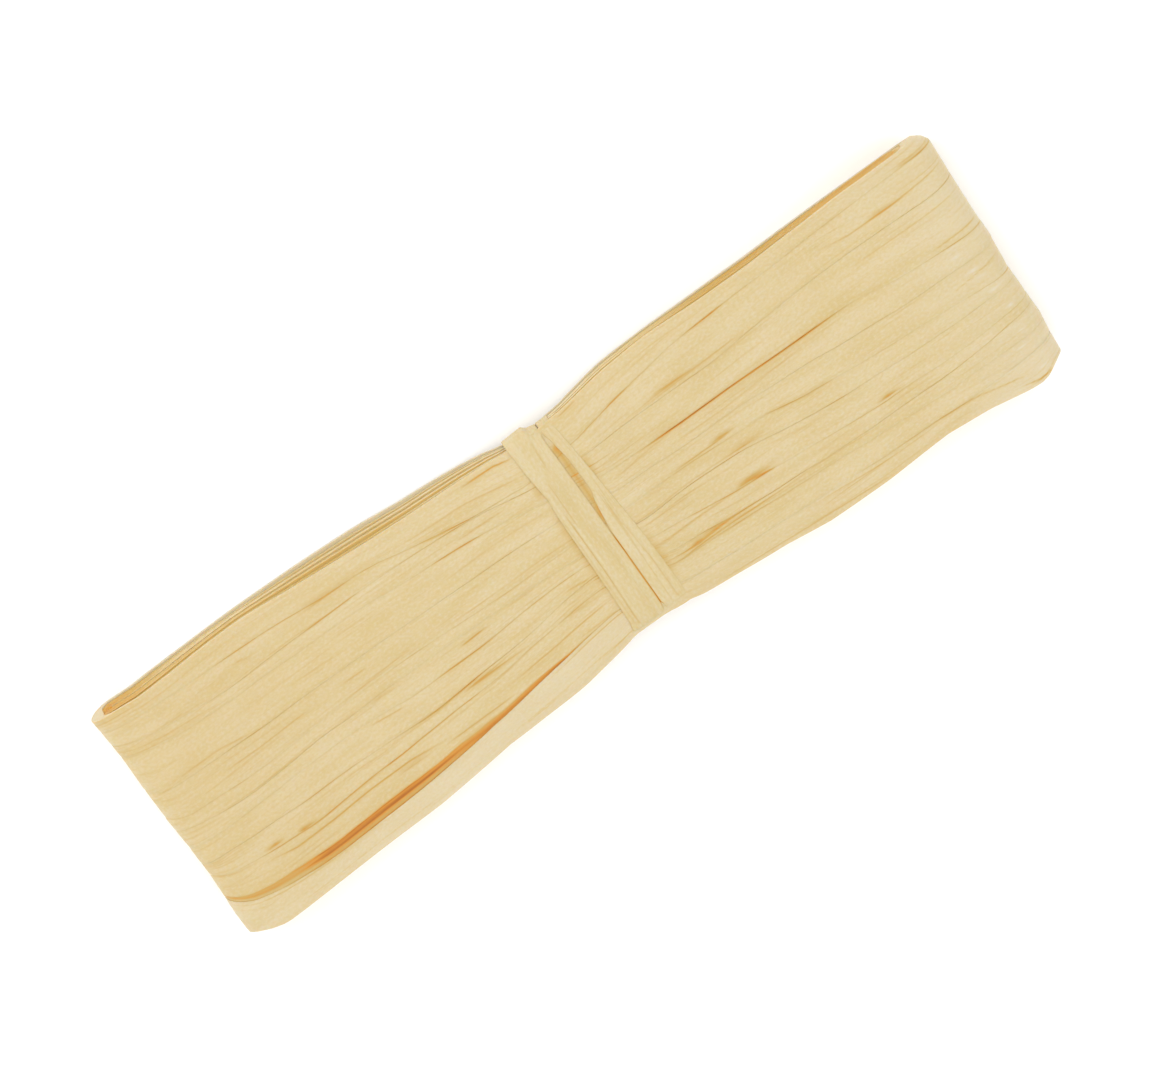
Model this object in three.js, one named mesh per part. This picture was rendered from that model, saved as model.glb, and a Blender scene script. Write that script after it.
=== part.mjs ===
// A flat bundle of raffia: long strands, wound round both ends of the bundle in three levels and
// drawn in at the waist by one strip of raffia that goes round them twice.
// Millimetres, +X along the bundle, +Y across it, +Z up. The origin is the middle of the footprint.
import * as THREE from "three";

// The whole bundle
const bundleLength = 260;
const bundleWidth = 72; // at the wide end, +X
const narrowEndWidth = 69.4; // at the other end, -X
const waistWidth = 58;
const endHeight = 14;
const endSkew = 0.049; // how much shorter the bundle gets per millimetre across it

// The strands
const strandThickness = 1.3;
const gap = 0.3; // between neighbours
const levelPitch = strandThickness + gap;
const sideStrandWidth = 8.2; // the broad one along the back edge
const sideStrandGap = 2;
const levels = [
  {
    name: "outer_strand",
    count: 10,
    from: -bundleWidth / 2,
    to: bundleWidth / 2 - sideStrandWidth - sideStrandGap,
    cover: 0.8,
  },
  { name: "middle_strand", count: 10, from: -33, to: 33, cover: 0.93 },
  { name: "inner_strand", count: 8, from: -34, to: 34, cover: 0.93 },
];
const lapEndGap = 1; // between a strand's own two ends, under the tie
const stepsPerRun = 7; // from the waist to an end
const stepsPerFold = 6; // even, so that one lies at the very end
const runCrowding = 1.35; // over 1 puts more of the steps near the waist

// The tie
const tieX = -4.6; // the middle of the waist
const tieWidth = 7.2;
const tieThickness = 0.5;
const tieTurnPitch = tieThickness + gap;
const tieCornerRadius = 2.5; // of the first turn's middle surface
const tieFirstTurnX = [-5.9, -9.7]; // where it runs on top, at the front and at the back
const tieSecondTurnX = -0.3;
const tieTailX = 0.7;
const tieTailY = 8; // where the tail ends, underneath
const tieHeadY = 4; // where the first turn starts, underneath

// How the waist shapes the strands
const waistHalfLength = 8.5; // the stretch that the tie holds at one width
const spreadLength = 34; // the distance in which the strands spread out again
const waistShift = -0.8; // the waist lies this far to one side
const waistHollow = 0.3; // half the height of the hollow that is left at the waist
const runHollow = 0.6; // and halfway to the ends
const puffLength = 42; // the distance in which it opens to the round of a fold
const waistEdgeSqueeze = 0.35; // share of the height that the tie takes off the waist's edges
const waistLift = 2 * tieTurnPitch; // the strands stand this far off the table there
const liftLength = 14; // the distance in which they come down to it
const strandWander = 0.7; // how far a strand strays sideways between the waist and an end
const sideDip = 0.8; // how far the upper strands along the back edge have sunk, on the +X side
const sideDipFromY = 28; // the strands whose middle lies behind this
const sideDipX = [20, 60, 104, 120]; // where it starts, is full, eases and ends

const foldRadius = endHeight / 2;
const foldX = bundleLength / 2 - foldRadius; // the fold's centre
const stackHeight = levels.length * levelPitch - gap;
const endHollow = foldRadius - stackHeight; // half the height of the hollow at an end
const across = new THREE.Vector3(0, 1, 0);

const straw = new THREE.MeshStandardMaterial({ color: 0xe3cb98, roughness: 0.62, metalness: 0 });
const deepStraw = new THREE.MeshStandardMaterial({ color: 0xdcb878, roughness: 0.7, metalness: 0 });
const paleStraw = new THREE.MeshStandardMaterial({ color: 0xe4cf9f, roughness: 0.6, metalness: 0 });

// A curve that is sampled as it is written, with frames that keep one side facing out of the bundle.
class BandPath extends THREE.Curve {
  constructor(pointAt, outwardAt) {
    super();
    this.pointAt = pointAt;
    this.outwardAt = outwardAt;
  }

  getPoint(t) {
    return this.pointAt(t);
  }

  getUtoTmapping(u) {
    return u;
  }

  computeFrenetFrames(segments) {
    const frames = { tangents: [], normals: [], binormals: [] };
    for (let i = 0; i <= segments; i++) {
      const tangent = this.getTangentAt(i / segments);
      const outward = this.outwardAt(i / segments);
      outward.addScaledVector(tangent, -outward.dot(tangent)).normalize();
      frames.tangents.push(tangent);
      frames.normals.push(outward);
      frames.binormals.push(new THREE.Vector3().crossVectors(tangent, outward));
    }
    return frames;
  }
}

function flatSection(thickness, width) {
  const corners = [
    [-thickness / 2, -width / 2],
    [thickness / 2, -width / 2],
    [thickness / 2, width / 2],
    [-thickness / 2, width / 2],
  ];
  return new THREE.Shape(corners.map(([x, y]) => new THREE.Vector2(x, y)));
}

// The loop of one level before the waist is drawn in: it starts under the tie and runs out along the
// underside, up round the +X fold, back over the top, down round the -X fold and home.
function strandLoop(radius, y) {
  const stretches = [
    { steps: stepsPerRun, run: [tieX + lapEndGap / 2, foldX], side: -1 },
    { steps: stepsPerFold, fold: 1 },
    { steps: stepsPerRun, run: [tieX, foldX], side: 1, inwards: true },
    { steps: stepsPerRun, run: [tieX, -foldX], side: 1 },
    { steps: stepsPerFold, fold: -1 },
    { steps: stepsPerRun, run: [tieX - lapEndGap / 2, -foldX], side: -1, inwards: true },
  ];
  const total = stretches.reduce((sum, s) => sum + s.steps, 0);

  function place(t) {
    let step = THREE.MathUtils.clamp(t, 0, 1) * total;
    const stretch = stretches.find((s, i) => {
      const last = i === stretches.length - 1;
      if (step <= s.steps || last) return true;
      step -= s.steps;
      return false;
    });
    const share = step / stretch.steps;
    if (stretch.fold) {
      const angle = (stretch.fold > 0 ? -0.5 + share : 0.5 + share) * Math.PI;
      const outward = new THREE.Vector3(Math.cos(angle), 0, Math.sin(angle));
      const centre = new THREE.Vector3(stretch.fold * foldX, y, 0);
      return { point: centre.addScaledVector(outward, radius), outward };
    }
    const [near, far] = stretch.run;
    const along = stretch.inwards ? 1 - share : share;
    const x = near + (far - near) * along ** runCrowding;
    const outward = new THREE.Vector3(0, 0, stretch.side);
    return { point: new THREE.Vector3(x, y, stretch.side * radius), outward };
  }

  const path = new BandPath((t) => place(t).point, (t) => place(t).outward);
  return { path, steps: total };
}

// 0 where the tie holds the bundle, rising to nearly 1 at the ends.
function spread(x) {
  const past = Math.max(0, Math.abs(x - tieX) - waistHalfLength);
  return 1 - Math.exp(-past / spreadLength);
}

function widthAt(x) {
  const endWidth = x > tieX ? bundleWidth : narrowEndWidth;
  const fullSpread = spread(Math.sign(x - tieX) * foldX);
  const share = Math.min(1, spread(x) / fullSpread);
  return waistWidth + (endWidth - waistWidth) * share;
}

function hollowAt(x) {
  const run = waistHollow + (runHollow - waistHollow) * spread(x);
  const puff = THREE.MathUtils.smoothstep(Math.abs(x), foldX - puffLength, foldX);
  return run + (endHollow - run) * puff;
}

function liftAt(x) {
  const past = Math.abs(x - tieX) - waistHalfLength;
  return waistLift * (1 - THREE.MathUtils.smoothstep(past, 0, liftLength));
}

// Draws in the waist, closes the hollow towards it and sets the bundle down on its underside.
function shapeByWaist(geometry, strandY) {
  const sinking = strandY > sideDipFromY ? sideDip : 0;
  const position = geometry.attributes.position;
  const point = new THREE.Vector3();
  for (let i = 0; i < position.count; i++) {
    point.fromBufferAttribute(position, i);
    const { x, y, z } = point;
    const upper = z > 0;
    const middleOfRun = Math.max(0, 1 - (x / foldX) ** 2);
    const fromEdge = 1 - (2 * y / bundleWidth) ** 2;
    const phase = upper ? 0 : 2.1;
    const wander = strandWander * Math.sin(x / 19 + y / 8 + phase) * middleOfRun * fromEdge;

    const hollow = hollowAt(x);
    const squeeze = waistEdgeSqueeze * (1 - spread(x)) * (2 * y / bundleWidth) ** 4;
    const fromMiddle = Math.abs(x) < foldX ? Math.abs(z) - (endHollow - hollow) : Math.abs(z);
    const [dipStart, dipFull, dipEase, dipEnd] = sideDipX;
    const dip =
      (upper ? sinking : 0) *
      THREE.MathUtils.smoothstep(x, dipStart, dipFull) *
      (1 - THREE.MathUtils.smoothstep(x, dipEase, dipEnd));

    position.setXYZ(
      i,
      x * (1 - (endSkew * (y + bundleWidth / 2)) / (bundleLength / 2)),
      y * (widthAt(x) / bundleWidth) + waistShift * (1 - spread(x)) * (1 - spread(x)) + wander,
      stackHeight + hollow + liftAt(x) + Math.sign(z) * fromMiddle * (1 - squeeze) - dip,
    );
  }
  geometry.computeVertexNormals();
  return geometry;
}

function strandMesh(name, level, y, width) {
  const radius = foldRadius - strandThickness / 2 - level * levelPitch;
  const { path, steps } = strandLoop(radius, y);
  const section = flatSection(strandThickness, width);
  const geometry = new THREE.ExtrudeGeometry(section, { steps, extrudePath: path });
  const mesh = new THREE.Mesh(shapeByWaist(geometry, y), level === 0 ? straw : deepStraw);
  mesh.name = name;
  return mesh;
}

// The strands of one level, side by side and a little uneven in width.
function strandsOfLevel(level) {
  const { name, count, from, to, cover } = levels[level];
  const pitch = (to - from) / count;
  return Array.from({ length: count }, (_, i) => {
    const width = pitch * cover * (1 + 0.05 * Math.sin(2.4 * i + level));
    let y = from + pitch * (i + 0.5);
    if (i === 0) y = from + width / 2;
    if (i === count - 1) y = to - width / 2;
    return strandMesh(`${name}_${String(i + 1).padStart(2, "0")}`, level, y, width);
  });
}

// The tie's way round the waist: a rounded rectangle, from underneath forwards, over the top and back.
function tieLoop() {
  const halfWidth = waistWidth / 2 + gap + tieThickness / 2;
  const halfHeight = stackHeight + waistHollow + gap + tieThickness / 2;
  const middle = new THREE.Vector3(0, waistShift, stackHeight + waistHollow + waistLift);
  const stepsPerCorner = 4;
  const stepsPerFlat = 4;
  const spots = [];

  // One spot on the way: where it is, how far out, and which way is out.
  function add(y, z, angle, x, turn) {
    const out = turn * tieTurnPitch;
    const outward = new THREE.Vector3(0, Math.cos(angle), Math.sin(angle));
    const point = new THREE.Vector3(x, y, z).add(middle).addScaledVector(outward, out);
    spots.push({ point, outward });
  }

  function flat(side, fromY, toY, fromX, toX, turn) {
    for (let i = 1; i < stepsPerFlat; i++) {
      const share = i / stepsPerFlat;
      const x = THREE.MathUtils.lerp(fromX, toX, share);
      const y = THREE.MathUtils.lerp(fromY, toY, share);
      add(y, side * halfHeight, (side * Math.PI) / 2, x, turn);
    }
  }

  // Round one edge of the bundle, from the underside up (front) or from the top down (back).
  function edge(front, fromX, toX, fromTurn, toTurn) {
    const side = front ? -1 : 1;
    const cornerY = side * (halfWidth - tieCornerRadius);
    const cornerZ = halfHeight - tieCornerRadius;
    const total = 2 * stepsPerCorner + 1;
    for (let i = 0; i <= total; i++) {
      const lower = front ? i <= stepsPerCorner : i > stepsPerCorner;
      const inCorner = i <= stepsPerCorner ? i : i - 1;
      const turned = (inCorner / (2 * stepsPerCorner)) * Math.PI;
      const angle = front ? -Math.PI / 2 - turned : Math.PI / 2 - turned;
      const y = cornerY + tieCornerRadius * Math.cos(angle);
      const z = (lower ? -cornerZ : cornerZ) + tieCornerRadius * Math.sin(angle);
      const share = i / total;
      const x = THREE.MathUtils.lerp(fromX, toX, share);
      add(y, z, angle, x, THREE.MathUtils.lerp(fromTurn, toTurn, share));
    }
  }

  const flatEnd = halfWidth - tieCornerRadius;
  const [firstFront, firstBack] = tieFirstTurnX;
  add(tieHeadY, -halfHeight, -Math.PI / 2, firstFront, 0);
  flat(-1, tieHeadY, -flatEnd, firstFront, firstFront, 0);
  edge(true, firstFront, firstFront, 0, 0);
  flat(1, -flatEnd, flatEnd, firstFront, firstBack, 0);
  edge(false, firstBack, firstBack, 0, 1);
  flat(-1, flatEnd, -flatEnd, firstBack, tieSecondTurnX, 1);
  edge(true, tieSecondTurnX, tieSecondTurnX, 1, 1);
  flat(1, -flatEnd, flatEnd, tieSecondTurnX, tieSecondTurnX, 1);
  edge(false, tieSecondTurnX, tieTailX, 1, 1);
  flat(-1, flatEnd, tieTailY, tieTailX, tieTailX, 1);
  add(tieTailY, -halfHeight, -Math.PI / 2, tieTailX, 1);

  function between(t, pick) {
    const at = THREE.MathUtils.clamp(t, 0, 1) * (spots.length - 1);
    const before = Math.min(Math.floor(at), spots.length - 2);
    return pick(spots[before]).clone().lerp(pick(spots[before + 1]), at - before);
  }

  const path = new BandPath((t) => between(t, (s) => s.point), (t) => between(t, (s) => s.outward));
  return { path, steps: spots.length - 1 };
}

function tieMesh() {
  const { path, steps } = tieLoop();
  const section = flatSection(tieThickness, tieWidth);
  const geometry = new THREE.ExtrudeGeometry(section, { steps, extrudePath: path });
  const mesh = new THREE.Mesh(geometry, paleStraw);
  mesh.name = "tie_strip";
  return mesh;
}

const bundle = new THREE.Group();
levels.forEach((_, level) => bundle.add(...strandsOfLevel(level)));
bundle.add(strandMesh("side_strand", 0, (bundleWidth - sideStrandWidth) / 2, sideStrandWidth));
bundle.add(tieMesh());

export default bundle;
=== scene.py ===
import math

import bpy
import numpy as np
from mathutils import Matrix, Vector


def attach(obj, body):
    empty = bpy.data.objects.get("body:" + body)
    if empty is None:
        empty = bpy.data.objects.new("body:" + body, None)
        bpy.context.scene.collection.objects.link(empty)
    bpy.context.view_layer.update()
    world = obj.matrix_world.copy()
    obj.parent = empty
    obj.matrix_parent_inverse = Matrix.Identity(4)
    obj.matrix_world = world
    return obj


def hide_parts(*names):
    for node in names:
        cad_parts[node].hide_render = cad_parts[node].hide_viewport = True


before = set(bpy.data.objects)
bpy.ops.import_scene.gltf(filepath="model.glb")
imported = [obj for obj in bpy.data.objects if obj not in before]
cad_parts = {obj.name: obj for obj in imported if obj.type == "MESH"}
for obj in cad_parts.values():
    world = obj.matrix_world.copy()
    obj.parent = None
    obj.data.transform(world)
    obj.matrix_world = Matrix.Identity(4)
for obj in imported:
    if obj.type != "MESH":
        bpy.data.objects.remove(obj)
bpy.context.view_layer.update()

mm = 0.001
oneTurn = 6.283

# The form of the whole bundle, in millimetres, as in the solids.
bundle = {
    "length": 260.0,
    "width": 72.0,
    "narrowEndWidth": 69.4,
    "waistWidth": 58.0,
    "endHeight": 14.0,
    "stackHeight": 4.5,  # three levels of strands, above or below the hollow
    "endSkew": 0.049,  # how much shorter it gets per millimetre across it
    "waistX": -4.6,
    "waistHalfLength": 8.5,
    "spreadLength": 34.0,
    "waistShift": -0.8,
    "waistHollow": 0.3,  # half the height of the hollow there
    "runHollow": 0.6,
    "puffLength": 42.0,
    "waistLift": 1.6,
    "liftLength": 14.0,
    "edgeSqueeze": 0.35,
    "wander": 0.7,  # how far the strands stray sideways
    "wanderWave": (19.0, 8.0),
    "wanderUnder": 2.1,  # how far the waves underneath are out of step with those on top
    "trimReach": 1.2,
}
# How much further out the real edges lie than the even outline, in millimetres, at places along each edge.
trim = {
    "front": (
        (-128, -0.2), (-95, -0.3), (-74, -0.3), (-55, -1.0), (-42, -1.7), (-29, -2.2), (-17, -1.8),
        (-12, -1.5), (-9, -1.2), (-5, -0.6), (-3, -0.6), (4, -1.3), (9, -1.6), (15, -1.4), (22, -1.2),
        (34, -0.8), (47, -1.2), (66, -1.1), (85, -0.8), (104, 0), (111, 0.3), (117, 0.7), (124, 0.5),
    ),
    "back": (
        (-128, 0.2), (-118, 0.0), (-106, -1.6), (-93, -2.0), (-74, -0.4), (-55, 0.3), (-42, -0.3),
        (-30, 0.1), (-17, 0.8), (-10, 0.7), (-6, 0.1), (22, 0.1), (34, -0.7), (47, -1.2), (70, 0),
    ),
    "endA": (
        (-36, -0.6), (-33, -0.8), (-21, -0.9), (-12, -0.3), (-3, 0), (7, 0), (16, 0.3), (22, 0.8),
        (28, 1.4), (33, 1.6),
    ),
    "endB": (
        (-37.5, -5.2), (-36.9, -4.1), (-35.3, -1.7), (-33.7, -0.5), (-21, -0.5), (-12, -0.4), (-3, 0),
        (7, -0.4), (16, 0.1), (22, 0.5), (28, 0),
    ),
}
foldRadius = bundle["endHeight"] / 2
foldX = bundle["length"] / 2 - foldRadius
endHollow = foldRadius - bundle["stackHeight"]


def ease(value, start, end):
    share = np.clip((value - start) / (end - start), 0, 1)
    return share * share * (3 - 2 * share)


def bell(away, wide):
    return np.exp(-((away / wide) ** 2))


def follow(points, at):  # reads the line through the points
    places, values = np.array(sorted(points)).T
    return np.interp(at, places, values)


def spread(x):
    past = np.maximum(0, np.abs(x - bundle["waistX"]) - bundle["waistHalfLength"])
    return 1 - np.exp(-past / bundle["spreadLength"])


def widthAt(x):
    endWidth = np.where(x > bundle["waistX"], bundle["width"], bundle["narrowEndWidth"])
    fullSpread = spread(np.where(x > bundle["waistX"], foldX, -foldX))
    share = np.minimum(1, spread(x) / fullSpread)
    return bundle["waistWidth"] + (endWidth - bundle["waistWidth"]) * share


def hollowAt(x):
    run = bundle["waistHollow"] + (bundle["runHollow"] - bundle["waistHollow"]) * spread(x)
    puff = ease(np.abs(x), foldX - bundle["puffLength"], foldX)
    return run + (endHollow - run) * puff


def liftAt(x):
    past = np.abs(x - bundle["waistX"]) - bundle["waistHalfLength"]
    return bundle["waistLift"] * (1 - ease(past, 0, bundle["liftLength"]))


def drawIn(x, y, z):  # from the plain flat loop to the bundle's own form
    full = bundle["width"]
    halfLength = bundle["length"] / 2
    middleOfRun = np.maximum(0, 1 - (x / foldX) ** 2)
    fromEdge = np.maximum(0, 1 - (2 * y / full) ** 2)
    waveX, waveY = bundle["wanderWave"]
    outOfStep = np.where(z > 0, 0, bundle["wanderUnder"])
    wander = bundle["wander"] * np.sin(x / waveX + y / waveY + outOfStep) * middleOfRun * fromEdge
    hollow = hollowAt(x)
    squeeze = bundle["edgeSqueeze"] * (1 - spread(x)) * np.minimum(1, (2 * y / full) ** 4)
    fromMiddle = np.where(np.abs(x) < foldX, np.abs(z) - (endHollow - hollow), np.abs(z))
    longer = np.where(x > 0, follow(trim["endA"], y), follow(trim["endB"], y))
    newX = x * (1 - bundle["endSkew"] * (y + full / 2) / halfLength + longer / halfLength)
    newY = y * (widthAt(x) / full) + bundle["waistShift"] * (1 - spread(x)) ** 2 + wander
    front = np.clip(-2 * y / full, 0, bundle["trimReach"]) ** 2
    back = np.clip(2 * y / full, 0, bundle["trimReach"]) ** 2
    newY = newY + front * follow(trim["front"], x) + back * follow(trim["back"], x)
    newZ = bundle["stackHeight"] + hollow + liftAt(x) + np.sign(z) * fromMiddle * (1 - squeeze)
    return newX, newY, newZ


# One round of the loop, row by row: underside to the +X fold, over the top to the -X fold and home.
loop = {
    "runStep": 2.0,
    "foldSteps": 16,
    "lapGap": 0.15,  # between a strand's own two ends, under the tie
    "middleRadius": 6.4,
    "upperZ": 6.5,  # how high a line seen from above lies on the plain loop
}


def loopRows():
    start = bundle["waistX"] + loop["lapGap"] / 2
    end = bundle["waistX"] - loop["lapGap"] / 2
    half = round((foldX - start) / loop["runStep"])
    whole = round(2 * foldX / loop["runStep"])
    turn = np.linspace(-math.pi / 2, math.pi / 2, loop["foldSteps"] + 1)
    out = np.linspace(start, foldX, half, endpoint=False)
    back = np.linspace(foldX, -foldX, whole + 1)[1:-1]
    home = np.linspace(-foldX, end, half)[1:]
    centreX = np.concatenate([out, np.full(turn.size, foldX), back, np.full(turn.size, -foldX), home])
    angle = np.concatenate([
        np.full(out.size, -math.pi / 2), turn, np.full(back.size, math.pi / 2),
        turn + math.pi, np.full(home.size, math.pi * 1.5),
    ])
    return centreX, np.cos(angle), np.sin(angle)


rowX, rowOutX, rowOutZ = loopRows()
rowCount = rowX.size
alongX = rowX + loop["middleRadius"] * rowOutX
rowReach = np.abs(alongX)  # how far from the middle of the bundle each row lies
rowSteps = np.hypot(np.diff(alongX), np.diff(loop["middleRadius"] * rowOutZ))
rowLength = np.concatenate([[0], np.cumsum(rowSteps)])  # along the strand

# The folds at the ends. A pair of x says where a change starts and where it is full.
ends = {
    "eye": 0.15,  # how far the innermost strands stay from the middle
    "widerEye": 0.1,
    "eyeX": (112, 123),
    "band": 1.4,  # how thick the foremost strand is round the folds
    "thickerBand": 2.7,  # and how much more at their very ends
    "bandX": (118, 124),
}
innermost = foldRadius - (endHollow - hollowAt(rowX)) - ends["eye"]
innermost = innermost - ends["widerEye"] * ease(rowReach, *ends["eyeX"])
foldBand = ends["band"] + ends["thickerBand"] * rowOutX ** 2
atFoldEnd = ease(rowReach, *ends["bandX"])

# Painted shade on the plies' edges along the front wall, as (x, amount); below 0 it paints them lighter,
# near the waist.
frontPlyShade = follow((
    (-127, 0), (-123, 0.42), (-115, 0.4), (-60, 0.3), (-35, 0), (-18, -0.4), (12, -0.4), (28, -0.2),
    (45, 0.05), (90, 0.1), (110, 0.08), (119, 0.32), (124, 0.45),
), alongX)

gridStep = 0.25
gridY = np.arange(-38.5, 38.51, gridStep)  # across the bundle, a little past its edges
taken = np.zeros((rowCount, gridY.size))  # how deep the strands laid so far reach in from the outside


def soften(field, cells, axis):
    reach = int(cells * 2)
    total = np.zeros_like(field)
    weightSum = 0
    size = field.shape[axis]
    for shift in range(-reach, reach + 1):
        weight = math.exp(-0.5 * (shift / max(cells, 0.01)) ** 2)
        index = np.clip(np.arange(size) + shift, 0, size - 1)
        total += weight * np.take(field, index, axis=axis)
        weightSum += weight
    return total / weightSum


def softenAlong(line, cells):
    return soften(line[:, None], cells, 0)[:, 0]


def widen(field, cells):
    result = field.copy()
    size = field.shape[1]
    for shift in range(-cells, cells + 1):
        result = np.maximum(result, field[:, np.clip(np.arange(size) + shift, 0, size - 1)])
    return result


def drift(rng, length, amount):  # a smooth random value for each row
    total = np.zeros(rowCount)
    for _ in range(4):
        wave = length * rng.uniform(0.6, 1.8)
        total += rng.uniform(0.5, 1) * np.sin(rowLength / wave * 2 * math.pi + rng.uniform(0, oneTurn))
    return amount * total / 2


def sample(field, y):
    column = np.clip((y - gridY[0]) / gridStep, 0, gridY.size - 1.001)
    low = column.astype(int)
    share = column - low
    rows = np.arange(rowCount)[:, None]
    return field[rows, low] * (1 - share) + field[rows, low + 1] * share


# The faint creases of a strand: a small step down to one side, and a line of painted shade on it.
creaseForm = {
    "wave": 90,
    "stray": 0.4,
    "shownLength": (30, 120),
    "foldLength": 60,
    "foldX": (108, 124),
    "step": 0.12,
    "stepReach": 1.6,
    "lineWidth": 0.2,
    "line": 0.8,
}


def layCreases(rng, y, width, count, strength):  # wherever chance puts them
    depth = np.zeros_like(y)
    line = np.zeros_like(y)
    gathered = 0.6 + 0.7 * (1 - spread(rowX))
    atFold = ease(rowReach, *creaseForm["foldX"])
    for number in range(count * 2):
        place = rng.uniform(0.04, 0.96)
        path = y[:, 0] + width * place + drift(rng, creaseForm["wave"], creaseForm["stray"])
        if number < count:
            shown = drift(rng, rng.uniform(*creaseForm["shownLength"]), 1) + rng.uniform(-0.2, 0.3)
            window = np.clip(shown, 0, 1) * gathered
        else:
            window = 0.6 * np.clip(drift(rng, creaseForm["foldLength"], 1) + 0.3, 0, 1) * atFold
        amount = (rng.uniform(0.3, 1) * strength * window)[:, None]
        away = y - path[:, None]
        side = rng.choice([-1, 1])
        step = amount / (1 + np.exp(-side * away / creaseForm["step"]))
        depth += step * np.exp(-np.abs(away) / creaseForm["stepReach"])
        line += creaseForm["line"] * amount / strength * bell(away, creaseForm["lineWidth"])
    return depth, line


# The folds and puckers on top: how deep they press in and how strong their painted shade is.
foldForm = {"depth": 0.16, "width": 0.2, "halo": 0.25, "haloAt": 0.25, "haloWidth": 0.5}
puckerForm = {"depth": 0.12, "paintedLight": 0.6, "height": 0.3, "heightPerLength": 0.09, "coreWidth": 0.2}


def layFolds(x, y, top):
    depth = np.zeros_like(y)
    line = np.zeros_like(y)
    for strength, *places in upperFolds:
        low, high = min(places)[0], max(places)[0]
        blend = 0.18 * (high - low) + 1
        window = ease(x, low - blend * 0.5, low + blend) * (1 - ease(x, high - blend, high + blend * 0.5))
        away = y - follow(places, x)
        amount = strength * window * top
        core = bell(away, foldForm["width"])
        lip = 0.5 / (1 + np.exp(away / 0.15)) * np.exp(-np.abs(away))
        halo = np.exp(-np.abs(away - foldForm["haloAt"]) / foldForm["haloWidth"])
        depth += foldForm["depth"] * amount * (core + lip)
        line += amount * core + foldForm["halo"] * amount * halo
    for atX, atY, long, strength in puckers:
        offX = (x - atX) / long
        offY = y - atY
        high = puckerForm["height"] + puckerForm["heightPerLength"] * long
        leaning = np.where(offX > 0, np.exp(-(offX * 1.5) ** 2), np.exp(-(offX * 0.8) ** 2))
        around = leaning * bell(offY + 0.25 * high, high) * top
        core = leaning * bell(offY - 0.35 * high, puckerForm["coreWidth"]) * top
        depth += strength * (puckerForm["depth"] * around + puckerForm["depth"] * core)
        line += strength * (puckerForm["paintedLight"] * around + puckerForm["paintedLight"] * core)
    return depth, line


sideSink = {"depth": 0.5, "startX": (16, 45), "endX": (100, 121)}


def sinkAt(x):  # how far the side strand lies below the others on top
    return sideSink["depth"] * ease(x, *sideSink["startX"]) * (1 - ease(x, *sideSink["endX"]))


# The narrow slot under the foremost strand, beside the folds.
slotForm = {"start": 0.3, "startX": (96, 112), "more": 0.4, "moreX": (112, 124)}


def restOn(y, level, spec):  # the outer face lies on what the strands laid before have left free
    covered = soften(soften(widen(taken, 1), 1.4, 1), 1.5, 0)
    depth = np.maximum(sample(covered, y), spec["depth"][level])
    if spec["front"] and level == 1:
        slot = slotForm["start"] * ease(rowReach, *slotForm["startX"])
        slot = (slot + slotForm["more"] * ease(rowReach, *slotForm["moreX"])) * ease(rowOutZ, -0.6, 0.2)
        below = spec["depth"][1] + slot + (foldBand - spec["depth"][1]) * atFoldEnd
        depth = np.maximum(depth, below[:, None])
    return depth


# Beside each seam: a line of painted shade on the strand that lies lower, and a faint one along the upper
# one.
seamForm = {"shadeWidth": 0.24, "depth": 0.05, "depthWidth": 0.3, "edge": 0.4, "edgeWidth": 0.18}


def shadeSeams(rng, beside, y, depth, paintedLight):
    for seam, strength, isLower in beside:
        away = np.abs(y - seam[:, None])
        strength = strength * np.clip(0.9 + drift(rng, 30, 0.2) + drift(rng, 9, 0.3), 0.1, 1.4)
        if isLower:
            paintedLight = paintedLight + strength[:, None] * bell(away, seamForm["shadeWidth"])
            depth = depth + seamForm["depth"] * strength[:, None] * bell(away, seamForm["depthWidth"])
        else:
            paintedLight = paintedLight + seamForm["edge"] * strength[:, None] * np.exp(-away / seamForm["edgeWidth"])
    return depth, paintedLight


# The groove beside the side strand: its painted shade and glow across it, where it is wide and where it is
# slim.
grooveForm = {
    "wide": (
        (0, 0), (0.05, 0.72), (0.3, 0.8), (0.42, 1.1), (0.54, 0.72), (0.7, 0.42), (0.85, 0.4),
        (1, 0.8), (1.4, 0.6),
    ),
    "slim": ((0, 0), (0.15, 0.5), (0.5, 0.78), (0.8, 0.85), (1.4, 0.6)),
    "slimX": (-68, -48),
    "fullX": (-112, -100),
    "leastWidth": 0.6,
    "depth": 0.06,
}


def openGroove(y, depth, paintedLight):
    front = seams[10][:, None]
    back = np.maximum(groove, seams[10] + grooveForm["leastWidth"])[:, None]
    opening = ease(groove - seams[10], 0.1, 0.9)[:, None]
    down = np.clip((y - front) / (back - front), 0, 1.4)
    depth = depth + (sinkAt(alongX)[:, None] + grooveForm["depth"] * opening) * np.minimum(down, 1.05) ** 1.3
    wide = follow(grooveForm["wide"], down)
    slim = follow(grooveForm["slim"], down)
    colour = wide + (slim - wide) * ease(-alongX, *grooveForm["slimX"])[:, None]
    paintedLight = paintedLight + opening * colour * (0.52 + 0.48 * ease(-alongX, *grooveForm["fullX"])[:, None])
    return depth, paintedLight


def innerDepth(lie, depth, level, spec):
    evened = lie.max(axis=1, keepdims=True) * 0.3 + lie * 0.7
    inside = np.minimum(evened + 0.1 + spec["thickness"][level], spec["deepest"][level])
    if level == 2:
        inside = np.tile(innermost[:, None], (1, lie.shape[1]))
    if spec["front"] and level == 0:
        inside = inside + (foldBand[:, None] - inside) * atFoldEnd[:, None]
    return np.maximum(inside, depth + 0.25)


# The shade on the strands in the tie's opening.
openingShade = {"x": -7.0, "width": 1.0, "frontY": (-27, -22), "backY": (0, 5), "paintedLight": 0.42}


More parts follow.
